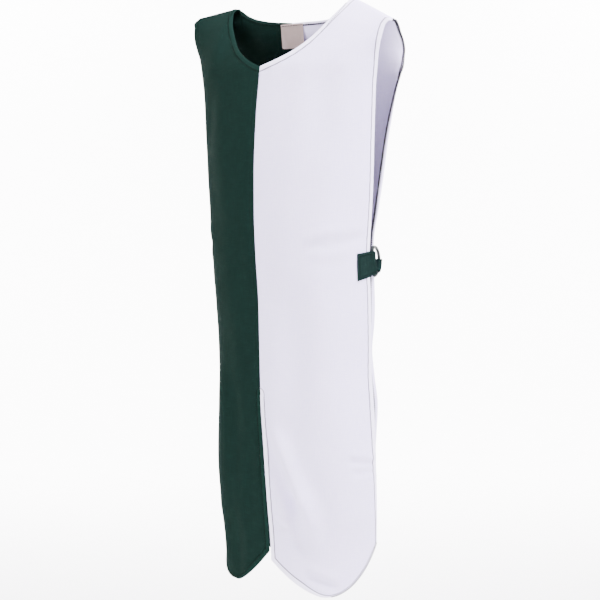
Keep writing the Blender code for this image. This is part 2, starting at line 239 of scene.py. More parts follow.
# Where creases and drift die out: near the centre seam, the shoulder, the side edge and the fastening
CALM_CENTRE = 0.020
CALM_SHOULDER = 0.030
CALM_SIDE_ANGLE = 0.15
CALM_SIDE_SHARE = 0.5
CALM_FASTENING = 0.05
FASTENING_OUT = 0.160
FASTENING_BEFORE_BAR = 0.02

# Neck label, sewn at its top edge and hanging free
LABEL_WIDTH = 0.052
LABEL_HEIGHT = 0.044
LABEL_BELOW_NECK = 0.002
LABEL_LEAN = 0.14
LABEL_THICK = 0.0007
LABEL_BEHIND = 0.0011
LABEL_CURL = 0.0016
LABEL_ROUND = 0.0035
LABEL_STITCH_IN = 0.0022
LABEL_ROWS = 30
LABEL_COLUMNS = 34

# Side fastening: a tab from the front holds a D-ring, and a strap from the back goes through it
STRIP_THICK = 0.0015
TAB_HEIGHT = 0.045
TAB_DROP = 0.477
TAB_RISE = 0.006
TAB_ON_FRONT = 0.029
TAB_INSIDE = 0.018
TAB_FLARE = 0.07
TAB_FOLD_SHARE = 0.93
TAB_FOLD_LOWER = 0.0016
STRAP_HEIGHT = 0.021
STRAP_END_DROP = 0.480
STRAP_ON_BACK = (0.043, 0.052, 0.062, 0.072)
STRAP_LIFTS = (0.0045, 0.0008, 0.0, 0.0)
STRAP_BELOW_RING = 0.0120
STRIP_CLEAR = 0.0007
STRIP_EDGE = 0.0050
RING_WIRE = 0.004
# The wire is drawn thicker than its solid, as the photo shows it
RING_WIRE_SHOWN = 0.0052
LACQUER = 0.0003
RING_HALF_HEIGHT = 0.0255
RING_REACH = 0.0315
RING_CORNER = 0.003
RING_FULLNESS = 0.9
RING_CORNER_TURN = 15
RING_BOW_TURN = 4
RING_ROUNDNESS = 6
BAR = Vector((0.1790, 0.0016, -0.4680))
BOW = Vector((0.1692, 0.0306, -0.4616))
FOLD_SLACK = 0.0016
FOLD_RADIUS = RING_WIRE / 2 + FOLD_SLACK + SOLID_WALL / 2

# Thread, drawn at 1.6 and 2.6 mm because the real 0.5 mm is finer than what shows
STITCH_LENGTH = 0.0030
STITCH_PITCH = 0.0038
THREAD = 0.0016
STITCH_SUNK = 0.25
STITCH_PROUD = 0.15
STITCH_FULL = (0.28, 0.72)
OVERLOCK_COLUMNS = (-2, -4, -6)
OVERLOCK_ROWS = (6, 8)
OVERLOCK_OUTER = -2
OVERLOCK_AIM = -4
OVERLOCK_THREAD = 0.0026
THREAD_SIDES = 5

# Mesh density
SAMPLES = 2000
ARC_SAMPLES = 70
HALVINGS = 40
COLUMN_ROUNDS = 6
SLANT_LIMIT = 2.2
MIDDLE_DROP = 0.5
PROBE = 0.0005
NECK_COLUMNS = 38
SHOULDER_COLUMNS = 34
BODY_ROWS = 226
ROW_EASING = 12
ROW_EASED_BY = 0.07
LINE_STEP = 0.0006
STRIP_STEPS = 4
STRIP_ROWS = 30
FOLD_STEPS = 10

# Camera at the photograph's viewing angle
AZIMUTH = math.radians(40)
PITCH = math.radians(2.7)
CAMERA_DISTANCE = 3.3
CAMERA_ASIDE = 0.0084
CAMERA_HEIGHT = -0.385
LENS = 108
SENSOR = 36

# Floor at a wearer's feet, which turns up into a wall. Distances are from the garment, along the view
FLOOR_Z = -1.42
FLOOR_BEGINS = -9.0
FLOOR_ENDS = 4.0
WALL_TURN = 1.5
WALL_HEIGHT = 6.0
FLOOR_HALF_WIDTH = 16.0
TURN_STEP = 6
GARMENT = (0.0, 0.0, -0.35)
BACKDROP = (0.0, 5.5, -1.0)
AIR = "#fbf3e5"
AIR_STRENGTH = 1.2
Lamp = namedtuple("Lamp", "name across depth height aim size power tint")
LAMPS = (
    Lamp("key_light", 1.9, -1.8, 2.0, GARMENT, 1.5, 560, "#ece8ff"),
    Lamp("fill_light", -2.3, -1.6, 1.3, GARMENT, 2.4, 160, "#f1efff"),
    Lamp("top_light", 0.3, -0.8, 1.9, GARMENT, 1.0, 100, "#fbfaff"),
    Lamp("backdrop_light_1", -2.3, 3.4, 1.5, BACKDROP, 2.0, 850, "#ffffff"),
    Lamp("backdrop_light_2", 2.3, 3.4, 1.5, BACKDROP, 2.0, 850, "#ffffff"),
)

# Pattern sizes in millimetres. Cotton threads are 0.5 mm apart, too fine to show, and are drawn coarser
COTTON_DRAWN_MM = 1.1
SLUBS_MM = ((1.4, 26.0), (22.0, 1.6))
TONE_MM = 90
THREAD_TWIST_MM = 0.6
LABEL_RIB_MM = 0.8
LABEL_MOTTLE_MM = 12
LACQUER_BLOTCH_MM = 5


def slopes_of(knots, values):
    """The slope at each knot of a smooth curve that never overshoots its table."""
    rises = np.diff(values) / np.diff(knots)
    inner = [0.0 if a * b <= 0 else 2 * a * b / (a + b) for a, b in zip(rises, rises[1:])]
    return np.array([rises[0], *inner, rises[-1]])


def smooth(knots, values, places):
    """The table's values at the given places, on a smooth curve through its rows."""
    slopes = slopes_of(knots, values)
    index = np.clip(np.searchsorted(knots, places) - 1, 0, len(knots) - 2)
    width = knots[index + 1] - knots[index]
    t = (places - knots[index]) / width
    start = (1 + 2 * t) * (1 - t) ** 2 * values[index] + t * (1 - t) ** 2 * width * slopes[index]
    end = t * t * (3 - 2 * t) * values[index + 1] + t * t * (t - 1) * width * slopes[index + 1]
    return start + end


def unit(vectors):
    return vectors / np.linalg.norm(vectors, axis=-1, keepdims=True)


def running_total(steps):
    """How far along a line each of its points lies, from the steps between them."""
    return np.concatenate(([0.0], np.cumsum(steps)))


def put_in_scene(name, data):
    piece = bpy.data.objects.new(name, data)
    bpy.context.scene.collection.objects.link(piece)
    return piece


def smooth_piece(name, points, faces, material):
    mesh = bpy.data.meshes.new(name)
    mesh.from_pydata(points, [], faces)
    mesh.shade_smooth()
    mesh.materials.append(material)
    return put_in_scene(name, mesh)


class Panel:
    """A quarter of the tabard: the outer face of one cloth panel as it hangs."""

    def __init__(self, place, colour, side):
        front = place == "front"
        self.name = place + "_" + colour
        self.neck_hem = NECK_HEM[place]
        self.side_hems = SIDE_HEMS[place]
        self.colour = colour
        self.side = side
        self.facing = -1 if front else 1
        self.neck_drop = NECK_DROP[place]
        self.neck_curve = NECK_CURVES[self.name]
        self.length = FRONT_LENGTH[colour] - (0.0 if front else BACK_SHORTER)
        table = np.array(FRONT_SECTIONS if front else BACK_SECTIONS)
        steps = np.hypot(np.diff(table[:, 0]), np.diff(table[:, 1]))
        knots = running_total(steps)
        self.downs = np.linspace(0.0, knots[-1], SAMPLES)
        self.curves = np.array([smooth(knots, values, self.downs) for values in table.T])
        flare = np.array(FLARE[colour]).T
        self.curves[2] += smooth(flare[0], flare[1], self.curves[0])
        self.tip_x = table[0, 2]
        self.neck_angle = math.asin((HALF_NECK - HALF_SEAM) / (self.tip_x - HALF_SEAM))

    def section(self, downs):
        return [np.interp(downs, self.downs, curve) for curve in self.curves]

    def down_at(self, drops):
        return np.interp(drops, self.curves[0], self.downs)

    def points(self, angles, downs):
        """Points on the outer face. Angle 0 is the centre seam."""
        drop, depth, edge_x, edge_y = self.section(downs)
        seam = HALF_SEAM + SLIT_HALF_GAP * np.maximum(0, drop - SLIT_TOP) / (SLIT_END - SLIT_TOP)
        x = seam + (edge_x - seam) * np.sin(angles)
        y = edge_y + (self.facing * depth - edge_y) * np.cos(angles)
        past = (x - HALF_NECK) / (self.tip_x - HALF_NECK)
        softness = TIP_SOFTNESS + TIP_SOFTER_BELOW * drop
        past_neck = (past + np.sqrt(past * past + softness * softness)) / 2
        fade = np.maximum(0, 1 - drop / TIP_DROP_ENDS)
        at_tip = np.clip(1 - (self.tip_x - x) / TIP_ROLL_WIDTH, 0, 1) ** 2
        rolled = TIP_ROLL[self.colour] * at_tip * np.clip(1 - drop / TIP_ROLL_DROP, 0, 1)
        z = -drop - TIP_DROP[self.colour] * past_neck * fade - rolled
        return np.stack((self.side * x, y + self.facing * HALF_SEAM, z), axis=-1)

    def normals(self, angles, downs):
        """Directions out of the garment."""
        turn = PROBE / self.tip_x
        across = self.points(angles, downs) - self.points(angles - turn, downs)
        along = self.points(angles, downs + PROBE) - self.points(angles, downs - PROBE)
        return unit(self.facing * self.side * np.cross(across, along))

    def arc(self, down):
        """Angles from the centre seam to the side edge, and how far along the cloth each lies."""
        _, depth, edge_x, edge_y = self.section(down)
        angles = np.linspace(0.0, math.pi / 2, ARC_SAMPLES)
        rise = abs(self.facing * depth - edge_y)
        steps = np.hypot(edge_x * np.diff(np.sin(angles)), rise * np.diff(np.cos(angles)))
        return angles, running_total(steps)

    def side_hem(self, drops):
        """The side hem's width, which narrows towards the foot on the front."""
        return np.interp(drops, SIDE_HEM_DROPS, self.side_hems)

    def foot_hem(self, shares):
        """The foot hem's width, which narrows past the tip of the tongue."""
        tip = TONGUE_TIP[self.colour]
        begins, ends = FOOT_HEM_NARROWS
        return np.interp(shares, (tip + begins, tip + ends), (FOOT_HEM, FOOT_HEM_OUTER))

    def neckline(self, x):
        """The drop of the neckline at a distance from the centre."""
        share = abs(x / HALF_NECK)
        straight, power = self.neck_curve
        return self.neck_drop * (1 - straight * share - (1 - straight) * share ** power)

    def top(self, angle):
        """Where the panel starts: on the neckline, or at the shoulder seam past the neck."""
        if angle >= self.neck_angle:
            return 0.0
        low, high = 0.0, float(self.down_at(self.neck_drop))
        for _ in range(HALVINGS):
            middle = (low + high) / 2
            place = self.points(angle, middle)
            if -place[2] < self.neckline(place[0]):
                low = middle
            else:
                high = middle
        return high

    def bottom(self, angle):
        """Where the panel ends: on the tongue-shaped hem."""
        angles, reached = self.arc(self.down_at(self.length))
        share = float(np.interp(angle, angles, reached)) / reached[-1]
        tip = TONGUE_TIP[self.colour]
        if share < tip:
            rise = TONGUE_INNER_RISE[self.colour] * (1 - share / tip) ** TONGUE_INNER_POWER
        else:
            rise = TONGUE_OUTER_RISE * ((share - tip) / (1 - tip)) ** TONGUE_OUTER_POWER
        return float(self.down_at(self.length - rise))

    def angle_from_edge(self, reach, down):
        angles, reached = self.arc(down)
        return float(np.interp(reached[-1] - reach, reached, angles))

    def place(self, reach, drop, out):
        """A point a distance in from the side edge, a drop down and moved out from the cloth."""
        down = self.down_at(drop)
        angle = self.angle_from_edge(reach, down)
        return self.points(angle, down) + out * self.normals(angle, down)


def columns_at(panel, down):
    """Distances from the centre of all the columns, with close ones at both hems."""
    angles, reached = panel.arc(down)
    neck = float(np.interp(panel.neck_angle, angles, reached))
    inner = SLIT_HEM * np.array(HEM_STEPS)
    outer = reached[-1] - panel.side_hem(panel.section(down)[0]) * np.array(HEM_STEPS[::-1])
    neck_part = np.linspace(inner[-1], neck, NECK_COLUMNS + 1)[1:]
    shoulder_part = np.linspace(neck, outer[0], SHOULDER_COLUMNS + 1)[1:-1]
    return angles, reached, np.concatenate((inner, neck_part, shoulder_part, outer))


def ends_of_columns(panel):
    """Where each column starts and ends, down the cloth."""
    neck_column = len(HEM_STEPS) - 1 + NECK_COLUMNS
    count = len(columns_at(panel, 0.0)[2])
    tops, bottoms = [], []
    for column in range(count):
        top, bottom = 0.0, float(panel.down_at(panel.length))
        for _ in range(COLUMN_ROUNDS):
            angles, reached, places = columns_at(panel, top)
            angle = float(np.interp(places[column], reached, angles))
            top = 0.0 if column >= neck_column else panel.top(angle)
            angles, reached, places = columns_at(panel, bottom)
            bottom = panel.bottom(float(np.interp(places[column], reached, angles)))
        tops.append(top)
        bottoms.append(bottom)
    return np.array(tops), np.array(bottoms), neck_column


def slant_of(ends, places):
    """How much longer a step down the cloth is than a step square to a slanting edge."""
    slope = np.gradient(ends, places)
    return np.minimum(np.sqrt(1 + slope * slope), SLANT_LIMIT)


def grid_of(panel):
    """Angles and downs of the panel's fine grid, rows by columns."""
    tops, bottoms, neck_column = ends_of_columns(panel)
    places = columns_at(panel, float(panel.down_at(MIDDLE_DROP)))[2]
    top_slant = slant_of(tops, places)
    top_slant[neck_column:] = 1.0
    bottom_slant = slant_of(bottoms, places)
    foot = panel.foot_hem(places / places[-1])
    starts = tops + np.outer(np.array(HEM_STEPS) * panel.neck_hem, top_slant)
    stops = bottoms - np.outer(np.array(HEM_STEPS[::-1]), foot * bottom_slant)
    shares = np.linspace(0.0, 1.0, BODY_ROWS + 1)[1:-1, None]
    padded = np.pad(starts[-1], ROW_EASING, mode="edge")
    window = np.hanning(2 * ROW_EASING + 3)[1:-1]
    eased_starts = np.convolve(padded, window / window.sum(), mode="valid")
    begins = starts[-1] + np.clip(shares / ROW_EASED_BY, 0, 1) * (eased_starts - starts[-1])
    body = begins + shares * (stops[0] - begins)
    downs = np.concatenate((starts, body, stops))
    angles = np.empty_like(downs)
    across = np.empty_like(downs)
    for row in range(downs.shape[0]):
        for column in range(downs.shape[1]):
            turns, reached, spots = columns_at(panel, downs[row, column])
            across[row, column] = spots[column]
            angles[row, column] = np.interp(spots[column], reached, turns)
    return angles, downs, across, neck_column, foot


def distance_to(points, line):
    """How far each point lies from a line of points."""
    reached = running_total(np.linalg.norm(np.diff(line, axis=0), axis=1))
    spots = np.arange(0.0, reached[-1], LINE_STEP)
    dense = np.stack([np.interp(spots, reached, values) for values in line.T], axis=-1)
    tree = KDTree(len(dense))
    for index, spot in enumerate(dense):
        tree.insert(spot, index)
    tree.balance()
    flat = points.reshape(-1, 3)
    return np.array([tree.find(point)[2] for point in flat]).reshape(points.shape[:-1])


def hem_lift(share):
    """How far each face of a turned hem stands out from the plain cloth's."""
    roll = np.clip(share / ROLLED_TO, 0, 1)
    edge = EDGE_ROLL * (1 - np.sqrt(1 - (1 - roll) ** 2))
    plump = TURNED_PLY / 2 * np.clip((DOUBLE_TO - share) / DOUBLE_FADE, 0, 1)
    dip = STITCH_DIP * np.exp(-((share - 1) / DIP_WIDTH) ** 2)
    return plump - edge - dip


def crease_lift(panel, across, drops):
    """Listed creases, and the slow drift of hanging cloth."""
    lift = np.zeros_like(across)
    for crease in map(Crease._make, CREASES[panel.name]):
        start = np.array((crease.across, crease.drop))
        run = np.array((crease.to_across, crease.to_drop)) - start
        length = np.linalg.norm(run)
        run = run / length
        along = (across - start[0]) * run[0] + (drops - start[1]) * run[1]
        beside = (across - start[0]) * run[1] - (drops - start[1]) * run[0]
        beyond = np.maximum(0, np.maximum(-along, along - length))
        ends = np.exp(-((beyond / (CREASE_FADE * crease.width)) ** 2))
        middle = np.exp(-((beside / crease.width) ** 2))
        from_counter = (beside - COUNTER_AWAY * crease.width) / (COUNTER_WIDTH * crease.width)
        counter = COUNTER_FOLD * np.exp(-(from_counter ** 2))
        lift += crease.height * (middle - counter) * ends
    for wide, tall, turn in DRIFT_WAVES:
        phase = 2 * math.pi * (across / wide + drops / tall)
        phase += turn + panel.facing + DRIFT_SIDES_APART * panel.side
        lift += DRIFT / len(DRIFT_WAVES) * np.sin(phase)
    return lift


def calm_near_edges(panel, across, drops, angles, points):
    """0 at seams and fastenings, so that pieces still meet, and 1 on the open cloth."""
    centre = 1 - np.exp(-((across / CALM_CENTRE) ** 2))
    shoulder = 1 - np.exp(-((drops / CALM_SHOULDER) ** 2))
    fastening_y = BOW.y if panel.facing > 0 else BAR.y - FASTENING_BEFORE_BAR
    fastening = np.array((panel.side * FASTENING_OUT, fastening_y, -TAB_DROP))
    away = np.linalg.norm(points - fastening, axis=-1)
    near = 1 - np.exp(-((away / CALM_FASTENING) ** 2))
    side = 1 - CALM_SIDE_SHARE * np.exp(-(((math.pi / 2 - angles) / CALM_SIDE_ANGLE) ** 2))
    return centre * shoulder * near * side


def shell_mesh(name, outer, inner, cloth, material):
    """A closed cloth shell from its two faces, given as grids of points."""
    rows, columns = outer.shape[:2]
    index = np.arange(rows * columns).reshape(rows, columns)
    quads = np.stack((index[:-1, :-1], index[1:, :-1], index[1:, 1:], index[:-1, 1:]), axis=-1)
    quads = quads.reshape(-1, 4)
    border = np.concatenate((index[0, :-1], index[:-1, -1], index[-1, :0:-1], index[:0:-1, 0]))
    following = np.roll(border, -1)
    shift = rows * columns
    rim = np.stack((border, following, following + shift, border + shift), axis=-1)
    faces = np.concatenate((quads, quads[:, ::-1] + shift, rim))
    points = np.concatenate((outer.reshape(-1, 3), inner.reshape(-1, 3)))
    piece = smooth_piece(name, points.tolist(), faces.tolist(), material)
    if signed_volume(points, faces) < 0:
        piece.data.flip_normals()
    both = np.concatenate((cloth.reshape(-1, 3), cloth.reshape(-1, 3)))
    attribute = piece.data.attributes.new("cloth", "FLOAT_VECTOR", "POINT")
    attribute.data.foreach_set("vector", both.astype(np.float32).ravel())
    return piece


def signed_volume(points, faces):
    a, b, c, d = (points[faces[:, k]] for k in range(4))
    return float(np.sum(a * np.cross(b, c)) + np.sum(a * np.cross(c, d)))


def stitch_mesh(name, lines, material, thick=THREAD, length=STITCH_LENGTH):
    """Separate stitches along lines of points with the directions out of the cloth there."""
    points, faces = [], []
    turns = 2 * math.pi * np.arange(THREAD_SIDES) / THREAD_SIDES
    for line, outs in lines:
        reached = running_total(np.linalg.norm(np.diff(line, axis=0), axis=1))
        for start in np.arange(STITCH_PITCH / 2, reached[-1] - length, STITCH_PITCH):
            ends = [
                np.array([np.interp(start + share * length, reached, v) for v in line.T])
                for share in (0.0, 1.0)
            ]
            out = unit(np.array([np.interp(start, reached, v) for v in outs.T]))
            run = unit(ends[1] - ends[0])
            side = np.cross(out, run)
            first = len(points)
            low = -STITCH_SUNK * thick * out
            points.append(ends[0] + low)
            for share in STITCH_FULL:
                middle = ends[0] + share * (ends[1] - ends[0]) + STITCH_PROUD * thick * out
                for turn in turns:
                    round_thread = math.cos(turn) * side + math.sin(turn) * out
                    points.append(middle + thick / 2 * round_thread)
            points.append(ends[1] + low)
            for k in range(THREAD_SIDES):
                a, b = first + 1 + k, first + 1 + (k + 1) % THREAD_SIDES
                faces.append((first, b, a))
                faces.append((a, b, b + THREAD_SIDES, a + THREAD_SIDES))
                faces.append((a + THREAD_SIDES, b + THREAD_SIDES, first + 1 + 2 * THREAD_SIDES))
    return smooth_piece(name, [tuple(point) for point in points], faces, material)


def linear(hex_colour):
    """An sRGB hex colour as linear red, green, blue and alpha."""
    channels = [int(hex_colour[k:k + 2], 16) / 255 for k in (1, 3, 5)]
    turned = [c / 12.92 if c <= 0.04045 else ((c + 0.055) / 1.055) ** 2.4 for c in channels]
    return (*turned, 1.0)


def add_node(tree, kind, inputs=(), **settings):
    """A shader node with its settings, and a value or a link for each named input."""
    node = tree.nodes.new("ShaderNode" + kind)
    for name, value in settings.items():
        setattr(node, name, value)
    for name, value in dict(inputs).items():
        if isinstance(value, bpy.types.NodeSocket):
            tree.links.new(value, node.inputs[name])
        else:
            node.inputs[name].default_value = value
    return node


def new_material(name, roughness, sheen=0.0, sheen_tint="#ffffff", gloss=0.5):
    """A material and its shader. gloss is the specular level, 0.5 for a smooth surface of IOR 1.5."""
    material = bpy.data.materials.new(name)
    material.use_nodes = True
    shader = material.node_tree.nodes["Principled BSDF"]
    shader.inputs["Roughness"].default_value = roughness
    shader.inputs["Sheen Weight"].default_value = sheen
    shader.inputs["Sheen Roughness"].default_value = 0.5
    shader.inputs["Sheen Tint"].default_value = linear(sheen_tint)
    shader.inputs["Specular IOR Level"].default_value = gloss
    return material, material.node_tree, shader


def woven_cotton(name, colours, sheen, sheen_tint, bump_mm):
    """Woven cotton, matt with a soft nap: fine crossed threads, slubs and a slow change of tone.

    The fibres break up the gloss, so little of it is left. A turned hem is double and lets less
    light through, so it takes the hem colour. Along its stitches a darker line is painted: painted
    shade of the groove they pull in, mixed with the thread sunk between stitches.
    """
    colour, shade, slub, hem, groove_shade_and_sunk_thread = colours
    material, tree, shader = new_material(name, 0.9, sheen, sheen_tint, 0.01)
    cloth = add_node(tree, "Attribute", attribute_name="cloth")
    apart = add_node(tree, "SeparateXYZ", {"Vector": cloth.outputs["Vector"]})
    turn = math.pi / (COTTON_DRAWN_MM / 1000)
    waves = []
    for axis in ("X", "Y"):
        scaled = add_node(tree, "Math", {0: apart.outputs[axis], 1: turn}, operation="MULTIPLY")
        waves.append(add_node(tree, "Math", {0: scaled.outputs[0]}, operation="SINE"))
    weave = add_node(
        tree, "Math", {0: waves[0].outputs[0], 1: waves[1].outputs[0]}, operation="MULTIPLY"
    )
    slubs = []
    for across_mm, down_mm in SLUBS_MM:
        scale = (1000 / across_mm, 1000 / down_mm, 0.0)
        stretched = add_node(
            tree, "VectorMath", {0: cloth.outputs["Vector"], 1: scale}, operation="MULTIPLY"
        )
        slubs.append(
            add_node(
                tree,
                "TexNoise",
                {"Vector": stretched.outputs[0], "Scale": 1.0, "Detail": 2.0, "Roughness": 0.5},
            )
        )
    yarn = add_node(
        tree, "Math", {0: slubs[0].outputs["Fac"], 1: slubs[1].outputs["Fac"]}, operation="ADD"
    )
    slow = add_node(
        tree,
        "TexNoise",
        {"Vector": cloth.outputs["Vector"], "Scale": 1000 / TONE_MM, "Detail": 3.0, "Roughness": 0.55},
    )
    tone = add_node(tree, "MapRange", {"Value": slow.outputs["Fac"], "From Min": 0.3, "From Max": 0.7})
    base = add_node(
        tree,
        "Mix",
        {"Factor": tone.outputs["Result"], 6: linear(colour), 7: linear(shade)},
        data_type="RGBA",
    )
    yarn_tone = add_node(
        tree, "MapRange", {"Value": yarn.outputs[0], "From Min": 0.85, "From Max": 1.2, "To Max": 0.55}
    )
    yarned = add_node(
        tree,
        "Mix",
        {"Factor": yarn_tone.outputs["Result"], 6: base.outputs[2], 7: linear(slub)},
        data_type="RGBA",
    )
    doubled = add_node(
        tree,
        "MapRange",
        {"Value": apart.outputs["Z"], "From Min": 0.94, "From Max": 1.04, "To Min": 0.7, "To Max": 0.0},
    )
    hemmed = add_node(
        tree,
        "Mix",
        {"Factor": doubled.outputs["Result"], 6: yarned.outputs[2], 7: linear(hem)},
        data_type="RGBA",
    )
    # Painted shade: the line of the stitches is darkened for the shade of the groove they pull in,
    # together with the thread sunk between stitches
    from_row = add_node(tree, "Math", {0: apart.outputs["Z"], 1: 1.0}, operation="SUBTRACT")
    beside = add_node(tree, "Math", {0: from_row.outputs[0]}, operation="ABSOLUTE")
    groove_shade_and_thread_mask = add_node(
        tree,
        "MapRange",
        {"Value": beside.outputs[0], "From Min": 0.05, "From Max": 0.16, "To Min": 0.9, "To Max": 0.0},
    )
    with_groove_shade_and_thread = add_node(
        tree,
        "Mix",
        {"Factor": groove_shade_and_thread_mask.outputs["Result"], 6: hemmed.outputs[2], 7: linear(groove_shade_and_sunk_thread)},
        data_type="RGBA",
    )
    tree.links.new(with_groove_shade_and_thread.outputs[2], shader.inputs["Base Color"])
    relief = add_node(
        tree, "Math", {0: yarn.outputs[0], 1: 1.4, 2: weave.outputs[0]}, operation="MULTIPLY_ADD"
    )
    bump = add_node(
        tree, "Bump", {"Height": relief.outputs[0], "Strength": 0.5, "Distance": bump_mm / 1000}
    )
    tree.links.new(bump.outputs["Normal"], shader.inputs["Normal"])
    return material


def spun_thread(name, colour, dark):
    """Spun polyester sewing thread: a faint gloss, and a twist of two plies about 0.6 mm long."""
    material, tree, shader = new_material(name, 0.8, gloss=0.05)
    place = add_node(tree, "TexCoord")
    twist = add_node(
        tree,
        "TexNoise",
        {"Vector": place.outputs["Object"], "Scale": 1000 / THREAD_TWIST_MM, "Detail": 1.0},
    )
    mixed = add_node(
        tree,
        "Mix",
        {"Factor": twist.outputs["Fac"], 6: linear(colour), 7: linear(dark)},
        data_type="RGBA",
    )
    tree.links.new(mixed.outputs[2], shader.inputs["Base Color"])
    bump = add_node(tree, "Bump", {"Height": twist.outputs["Fac"], "Strength": 0.4, "Distance": 0.0002})
    tree.links.new(bump.outputs["Normal"], shader.inputs["Normal"])
    return material


def label_satin(name, colour, dark):
    """Woven polyester label tape: close weft ribs 0.8 mm apart, with a slight lustre."""
    material, tree, shader = new_material(name, 0.55, 0.15)
    cloth = add_node(tree, "Attribute", attribute_name="cloth")
    apart = add_node(tree, "SeparateXYZ", {"Vector": cloth.outputs["Vector"]})
    turn = 2 * math.pi * 1000 / LABEL_RIB_MM
    scaled = add_node(tree, "Math", {0: apart.outputs["Y"], 1: turn}, operation="MULTIPLY")
    ribs = add_node(tree, "Math", {0: scaled.outputs[0]}, operation="SINE")
    noise = add_node(
        tree,
        "TexNoise",
        {"Vector": cloth.outputs["Vector"], "Scale": 1000 / LABEL_MOTTLE_MM, "Detail": 3.0},
    )
    mixed = add_node(
        tree,
        "Mix",
        {"Factor": noise.outputs["Fac"], 6: linear(colour), 7: linear(dark)},
        data_type="RGBA",
    )
    tree.links.new(mixed.outputs[2], shader.inputs["Base Color"])
    bump = add_node(tree, "Bump", {"Height": ribs.outputs[0], "Strength": 0.3, "Distance": 0.0001})
    tree.links.new(bump.outputs["Normal"], shader.inputs["Normal"])
    return material


def lacquered_wire(name):
    """Steel wire under dark lacquer: satin, nearly black, a little paler where it is rubbed."""
    material, tree, shader = new_material(name, 0.5, gloss=0.3)
    place = add_node(tree, "TexCoord")
    blotch = add_node(
        tree,
        "TexNoise",
        {"Vector": place.outputs["Object"], "Scale": 1000 / LACQUER_BLOTCH_MM, "Detail": 4.0},
    )
    mixed = add_node(
        tree,
        "Mix",
        {"Factor": blotch.outputs["Fac"], 6: linear("#0c1412"), 7: linear("#18221f")},
        data_type="RGBA",
    )
    tree.links.new(mixed.outputs[2], shader.inputs["Base Color"])
    rough = add_node(tree, "MapRange", {"Value": blotch.outputs["Fac"], "To Min": 0.42, "To Max": 0.62})
    tree.links.new(rough.outputs["Result"], shader.inputs["Roughness"])
    bump = add_node(
        tree, "Bump", {"Height": blotch.outputs["Fac"], "Strength": 0.25, "Distance": 0.0002}
    )
    tree.links.new(bump.outputs["Normal"], shader.inputs["Normal"])
    return material


def make_panel(panel, cloth_material, thread):
    """The cloth shell of one panel and the stitches of its hems."""
    angles, downs, across, neck_column, foot = grid_of(panel)
    points = panel.points(angles, downs)
    outs = panel.normals(angles, downs)
    drops = panel.section(downs)[0]
    slit_from = int(np.argmax(drops[:, 0] > SLIT_TOP))
    edges = (
        (points[0, :neck_column + 1], panel.neck_hem),
        (points[:, -1], panel.side_hem(drops)),
        (points[slit_from:, 0], SLIT_HEM),
        (points[-1], foot),
    )
    share = np.minimum.reduce([distance_to(points, line) / width for line, width in edges])
    hem = hem_lift(share)
    seam = np.minimum(
        distance_to(points, points[0, neck_column:]),
        distance_to(points, points[:slit_from + 1, 0]),
    )
    seam_dip = SEAM_DIP * np.exp(-((seam / SEAM_DIP_WIDTH) ** 2))
    pucker_here = np.exp(-(((share - 1.0) / PUCKER_WIDTH) ** 2))
    run = points @ np.array(PUCKER_RUN)
    uneven = PUCKER_UNEVEN * np.sin(run / PUCKER_UNEVEN_OVER)
    pucker = PUCKER * pucker_here * np.sin(2 * math.pi * run / PUCKER_WAVE + uneven)
    calm = calm_near_edges(panel, across, drops, angles, points)
    creases = crease_lift(panel, across, drops) * calm
    lift = (creases + pucker)[..., None] * outs
    outer = points + lift + (hem - seam_dip)[..., None] * outs
    inner = points + lift - (CLOTH + hem)[..., None] * outs
    cloth = np.stack((across, downs, share), axis=-1)
    piece = shell_mesh(panel.name + "_cloth", outer, inner, cloth, cloth_material)
    rows = slice(STITCH_STEP, -STITCH_STEP - 1)
    columns = slice(STITCH_STEP, -STITCH_STEP - 1)
    slit_rows = slice(slit_from, -STITCH_STEP - 1)
    neck_columns = slice(0, neck_column + 1)
    lines = []
    for face, sign in ((outer, 1.0), (inner, -1.0)):
        turned = sign * outs
        lines += [
            (face[STITCH_STEP, neck_columns], turned[STITCH_STEP, neck_columns]),
            (face[rows, -STITCH_STEP - 1], turned[rows, -STITCH_STEP - 1]),
            (face[slit_rows, STITCH_STEP], turned[slit_rows, STITCH_STEP]),
            (face[-STITCH_STEP - 1, columns], turned[-STITCH_STEP - 1, columns]),
        ]
    if panel.facing > 0:
        bound = overlocked(outer, inner, outs)
        bound += [(inner[row, neck_columns], -outs[row, neck_columns]) for row in OVERLOCK_ROWS]
    else:
        past_tip = slice(int(np.argmax(foot < FOOT_HEM_NARROW)), OVERLOCK_OUTER)
        foot_edge = (OVERLOCK_AIM, past_tip)
        bound = [(outer[foot_edge], outs[foot_edge]), (inner[foot_edge], -outs[foot_edge])]
    overlock = stitch_mesh(panel.name + "_overlock", bound, thread, OVERLOCK_THREAD, STITCH_PITCH)
    return piece, [stitch_mesh(panel.name + "_stitches", lines, thread), overlock]


def overlocked(outer, inner, outs):
    """Threads of the overlocking that binds a back panel's side edge, inside and round it."""
    rim = (outer[:, -1] + inner[:, -1]) / 2
    beyond = unit(outer[:, -1] - outer[:, OVERLOCK_AIM])
    lines = [(rim, beyond), (outer[:, OVERLOCK_OUTER], outs[:, OVERLOCK_OUTER])]
    return lines + [(inner[:, column], -outs[:, column]) for column in OVERLOCK_COLUMNS]


def grid_normals(grid):
    across = np.gradient(grid, axis=1)
    along = np.gradient(grid, axis=0)
    return unit(np.cross(across, along))


def eased(stations, steps):
    """More stations on a smooth curve through the given ones."""
    before = 2 * stations[:1] - stations[1:2]
    after = 2 * stations[-1:] - stations[-2:-1]
    padded = np.concatenate((before, stations, after))
    result = []
    for k in range(len(stations) - 1):
        a, b, c, d = padded[k:k + 4]
        squared = 2 * a - 5 * b + 4 * c - d
        cubed = 3 * b - a - 3 * c + d
        for step in range(steps):
            t = step / steps
            result.append(0.5 * (2 * b + (c - a) * t + squared * t * t + cubed * t ** 3))
    result.append(stations[-1])
    return np.array(result)


